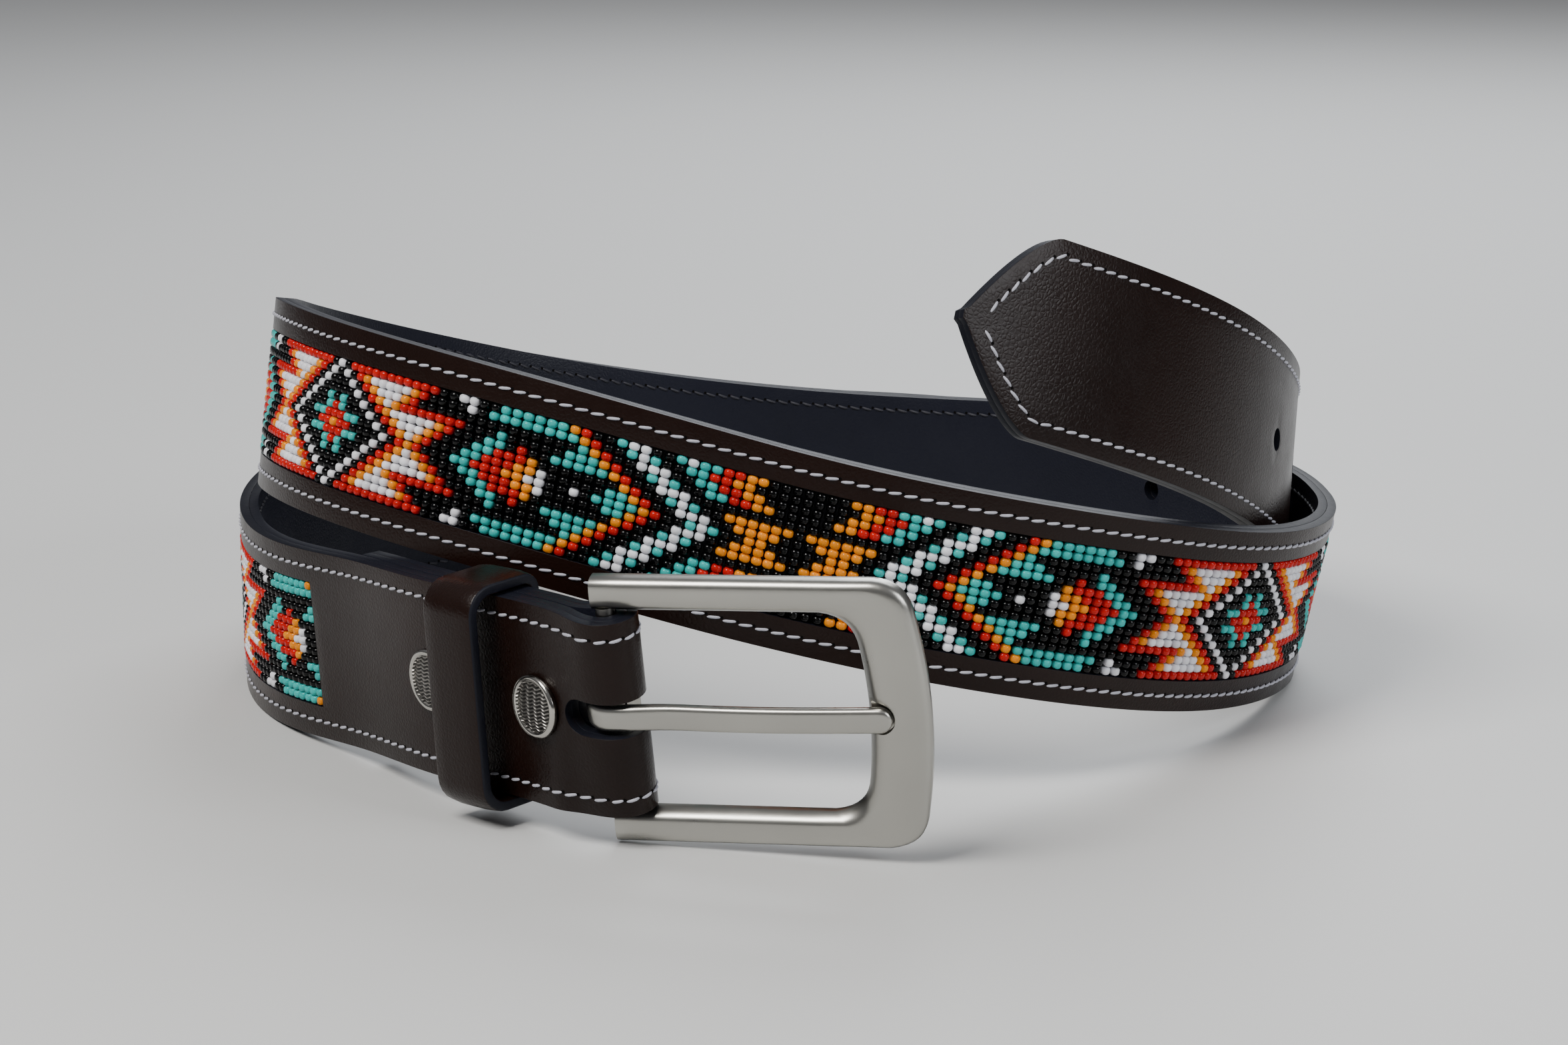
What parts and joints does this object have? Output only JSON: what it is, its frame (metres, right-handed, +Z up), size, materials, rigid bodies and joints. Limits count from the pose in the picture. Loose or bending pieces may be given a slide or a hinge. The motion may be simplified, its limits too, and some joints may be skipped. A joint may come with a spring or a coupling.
{
  "type": "beaded belt",
  "caption": "Leather belt with a loom-beaded panel, a hinged pin buckle, a keeper loop and a pointed end, lying unfastened in a loose coil.",
  "frame": {"origin": "centre of the bounding box at the level of the surface the belt lies on", "axes": "+Z up, -Y towards the buckle in front, +X the way the buckle points"},
  "size_m": [0.2284, 0.2488, 0.1048],
  "materials": {
    "lining": "smooth blue-black leather",
    "leather": "smooth dark brown leather with a soft shine",
    "beads": "glossy opaque glass seed beads, black with a coloured repeat",
    "nickel": "satin nickel"
  },
  "bodies": {
    "strap": {"strap_lining": "lining", "strap_face": "leather", "bead_panel": "beads", "keeper": "leather", "screw_1": "nickel", "screw_2": "nickel"},
    "frame": {"buckle_frame": "nickel"},
    "tongue": {"buckle_tongue": "nickel"}
  },
  "joints": [
    {"name": "frame_swing", "type": "hinge", "parent": "strap", "child": "frame", "pos_m": [-0.02719, -0.10769, 0.02624], "axis": [0.0815, 0.1564, -0.9843], "range_deg": [-15, 45]},
    {"name": "tongue_swing", "type": "hinge", "parent": "frame", "child": "tongue", "pos_m": [-0.02719, -0.10769, 0.02624], "axis": [0.0815, 0.1564, -0.9843], "range_deg": [0, 75]}
  ]
}
